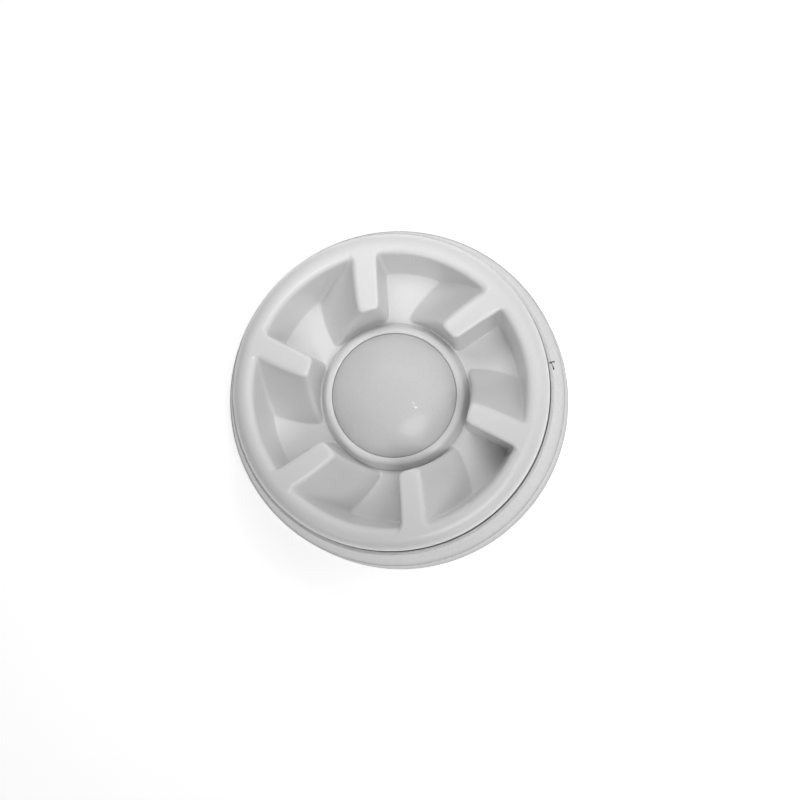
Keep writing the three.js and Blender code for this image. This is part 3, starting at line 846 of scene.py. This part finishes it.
BLADE_END_LEAN = 0.04
RIDGE_ROUND = 0.6
BLADE_END_ROUND = 2.2
MOUTH_ROUND = 2.1
BLADE_TOP_ROUND = 1.1
BLADE_ROOT_ROUND = 1.2
FLOOR_ROUND = 0.4


def line_angle(line, r):
    """The angle at radius r of a line through two (radius, angle) points."""
    (r0, a0), (r1, a1) = line
    return a0 + (a1 - a0) * (r - r0) / (r1 - r0)


def smooth_max(a, b, k):
    """The larger of two fields, with the edge between them rounded over a width k."""
    h = np.clip(0.5 + 0.5 * (a - b) / k, 0, 1)
    return b * (1 - h) + a * h + k * h * (1 - h)


def smooth_min(a, b, k):
    return -smooth_max(-a, -b, k)


def blade_field(r, angle, z):
    """How far a point is outside the nearest blade, about, in millimetres."""
    rise = FACE_Z - FLOOR_Z
    wall_foot = line_angle(WALL_FOOT, r)
    wall_top = line_angle(WALL_TOP, r)
    lean = (wall_top - wall_foot) * np.pi / 180 * r / rise
    wall_at = wall_foot + (wall_top - wall_foot) * (z - FLOOR_Z) / rise
    edge = line_angle(EDGE_TOP, r)
    foot = line_angle(RAMP_FOOT, r)
    span = (foot - edge) * np.pi / 180 * r
    plain = 1 - RAMP_CURL
    far = np.full_like(z, 1e3)
    for turn in (-BLADE_STEP, 0, BLADE_STEP):
        at = angle - turn
        wall = (wall_at - at) * np.pi / 180 * r / np.sqrt(1 + lean**2)
        share = (foot - at) / (foot - edge)
        up = np.maximum(share, 0)
        height = FLOOR_Z + rise * (plain * share + RAMP_CURL * up**RAMP_POWER)
        slope = rise * (plain + RAMP_CURL * RAMP_POWER * up ** (RAMP_POWER - 1)) / span
        ramp = (z - height) / np.sqrt(1 + slope**2)
        far = np.minimum(far, smooth_max(wall, ramp, RIDGE_ROUND))
    inner_end = HUB_R + BLADE_END_LEAN * (z - FLOOR_Z) - r
    return smooth_max(far, inner_end, BLADE_END_ROUND)


def cover_field(r, angle, z):
    """How far a point is outside the cover's ring, blades and floors, about."""
    draft = (POCKET_TOP_R - POCKET_FOOT_R) / (FACE_Z - FLOOR_Z)
    outer = (POCKET_FOOT_R + (z - FLOOR_Z) * draft - r) / math.sqrt(1 + draft**2)
    ring = smooth_max(outer, z - FACE_Z, MOUTH_ROUND)
    blades = smooth_max(blade_field(r, angle, z), z - FACE_Z, BLADE_TOP_ROUND)
    body = smooth_min(ring, blades, BLADE_ROOT_ROUND)
    body = smooth_min(body, z - FLOOR_Z, FLOOR_ROUND)
    return np.maximum(body, z - FACE_Z)


def surface_height(r, angle, inset):
    """The height of the cover's surface, or of one that lies deeper by inset."""
    low = np.full_like(r, FLOOR_Z - 4)
    high = np.full_like(r, FACE_Z + 4)
    for _ in range(30):
        middle = (low + high) / 2
        outside = cover_field(r, angle, middle) > -inset
        high = np.where(outside, middle, high)
        low = np.where(outside, low, middle)
    return (low + high) / 2


def blade_columns(r):
    """The angles of one blade and pocket's mesh lines at radius r, close together at edges."""
    next_foot = line_angle(WALL_FOOT, r) + BLADE_STEP
    next_top = line_angle(WALL_TOP, r) + BLADE_STEP
    corners = [
        line_angle(WALL_TOP, r) + 2.5, line_angle(EDGE_TOP, r) - 1.5, line_angle(EDGE_TOP, r) + 2.0,
        line_angle(RAMP_FOOT, r) - 4.0, line_angle(RAMP_FOOT, r) + 2.0,
        next_foot - 2.0, next_foot - 0.4, next_top + 0.6, next_top + 2.5,
    ]
    counts = [5, 12, 16, 8, 8, 5, 20, 6]
    steps = [np.linspace(a, b, n, endpoint=False) for a, b, n in zip(corners, corners[1:], counts)]
    return np.concatenate(steps)


def columns_round(r):
    """The angles of all the mesh lines at radius r, right round the cover."""
    one = blade_columns(r)
    return np.radians(np.concatenate([one + BLADE_STEP * k for k in range(BLADES)]))


def cover_row(r, inset=0.0):
    """One row of points right round the cover at radius r, on its face or inset beneath it."""
    turn = columns_round(r)
    angle = np.concatenate([blade_columns(r)] * BLADES)
    height = surface_height(np.full_like(angle, r), angle, inset)
    return np.stack([r * np.cos(turn), r * np.sin(turn), height], -1)


def make_cover_mesh():
    """Rows of points from the hub outwards over the face, down the outside and back beneath."""
    radii = np.concatenate([
        np.linspace(COLLAR_HOLE_R, 24.2, 20, endpoint=False),
        np.linspace(24.2, 35.6, 20, endpoint=False),
        np.linspace(35.6, FACE_EDGE_R, 30),
    ])
    rows = [cover_row(r) for r in radii]
    outline = arc_points(FACE_EDGE_R, FACE_Z - COVER_ROUND, COVER_ROUND, 88, 0, 12)
    outline += [(COVER_R, z) for z in np.linspace(FACE_Z - COVER_ROUND - 1, COVER_FOOT_Z + 0.3, 8)]
    outline += arc_points(COVER_R - 0.3, COVER_FOOT_Z + 0.3, 0.3, -20, -90, 3)
    outline += [(COVER_R - 1.8, COVER_FOOT_Z)]
    outline += [(COVER_R - 1.8, z) for z in np.linspace(COVER_FOOT_Z + 2, FACE_Z - 5, 5)]
    outline += [(COVER_R - 3.4, FACE_Z - COVER_WALL)]
    rows += lathe_rows(outline, columns_round(FACE_EDGE_R))
    for r in np.linspace(FACE_EDGE_R, COLLAR_HOLE_R + 0.01, 34):
        rows.append(cover_row(r, COVER_WALL))
    return grid_mesh("front_cover_shell", rows[::-1])


def make_cover_material():
    """Satin on the face and ramps, paler and finely spark-eroded on the pocket floors."""
    material, tree, detail, skin = detailed(
        "cover_moulding", COVER_TONE, 0.36, mottle=0.06, scale=1700, specks=0.08, wear=0.3
    )
    skin.inputs["Coat Weight"].default_value = 0.3
    skin.inputs["Coat Roughness"].default_value = 0.12
    place = put(tree, "ShaderNodeTexCoord").outputs["Object"]
    height = put(tree, "ShaderNodeSeparateXYZ", {0: place}).outputs[2]
    floor_mask = spread(tree, height, (FLOOR_Z + 0.35) * MM, (FLOOR_Z + 0.15) * MM)
    depth = maths(tree, "MULTIPLY_ADD", floor_mask, 0.00006, 0.000008)
    tree.links.new(depth, detail.inputs["Grain Depth"])
    paler = maths(tree, "MULTIPLY_ADD", floor_mask, 0.07, 1.0)
    tree.links.new(scaled_tone(tree, COVER_TONE, paler), detail.inputs["Color"])
    return material


cover_plastic = make_cover_material()
cover = add_object("front_cover_shell", make_cover_mesh(), cover_plastic)
finished(cover, "head", ["front_cover"], flat=False)


# ---- Dome, its collar and O-ring -----------------------------------------------------------
# The collar is a ring that traps the dome's flange and its rubber ring against the cover. The
# dome is a thin satin moulding over the thermistor, a little greyer than the cover.
DOME_R = 18.25
DOME_EDGE_Z = 18.9
DOME_TOP_Z = 25.3
DOME_WALL = 1


def dome_profile(radius, edge_z, top_z, steps):
    """A flat-topped half outline, from the middle of the dome to its edge."""
    points = [(0, top_z)]
    for t in np.linspace(0.02, 1, steps):
        share = math.sin(math.pi / 2 * t)
        points.append((radius * share, edge_z + (top_z - edge_z) * (1 - share**2.5) ** (1 / 1.5)))
    return points


collar_profile = [(18.45, 14.7), (18.35, 17.5), (18.28, 18.9)]
collar_profile += arc_points(18.55, 19.3, 0.25, 180, 100, 4)
collar_profile += arc_points(19.0, 17.9, 1.75, 82, 26, 8)
collar_profile += [(21.1, 17.5), (21.65, 16.4), (21.88, 15.3), (21.88, 13.4), (23.4, 13.4)]
collar_profile += [(23.4, 12.3), (20.2, 12.3), (20.2, 14.7)]
collar = add_object("dome_collar_ring", turned_mesh("dome_collar_ring", collar_profile), cover_plastic)
finished(collar, "head", ["dome_collar"], flat=False)

dome_plastic, _, _, dome_skin = detailed(
    "dome_moulding", (0.64, 0.64, 0.64), 0.42, mottle=0.08, scale=1300, depth=0.00001,
    specks=0.08, wear=0.0,
)
dome_skin.inputs["Coat Weight"].default_value = 0.3
dome_skin.inputs["Coat Roughness"].default_value = 0.09
dome_outline = dome_profile(DOME_R, DOME_EDGE_Z, DOME_TOP_Z, 40)
dome_outline += [(DOME_R, 15.5), (DOME_R, 13.2), (19.9, 13.2), (19.9, 12.2)]
dome_outline += [(DOME_R - DOME_WALL, 12.2)]
dome_outline += dome_profile(
    DOME_R - DOME_WALL, DOME_EDGE_Z - 0.6, DOME_TOP_Z - DOME_WALL, 24
)[::-1]
dome = add_object("sensor_dome_shell", turned_mesh("sensor_dome_shell", dome_outline), dome_plastic)
finished(dome, "head", ["sensor_dome"], flat=False)

ring_rubber, *_ = detailed(
    "o_ring_rubber", (0.025, 0.025, 0.025), 0.7, mottle=0.15, scale=2500, depth=0.00002, wear=0.0
)
ring_line = arc_points(19.15, 13.95, 0.5, 0, 345, 23)
ring = add_object("dome_o_ring_ring", turned_mesh("dome_o_ring_ring", ring_line), ring_rubber)
finished(ring, "head", ["dome_o_ring"], flat=False)
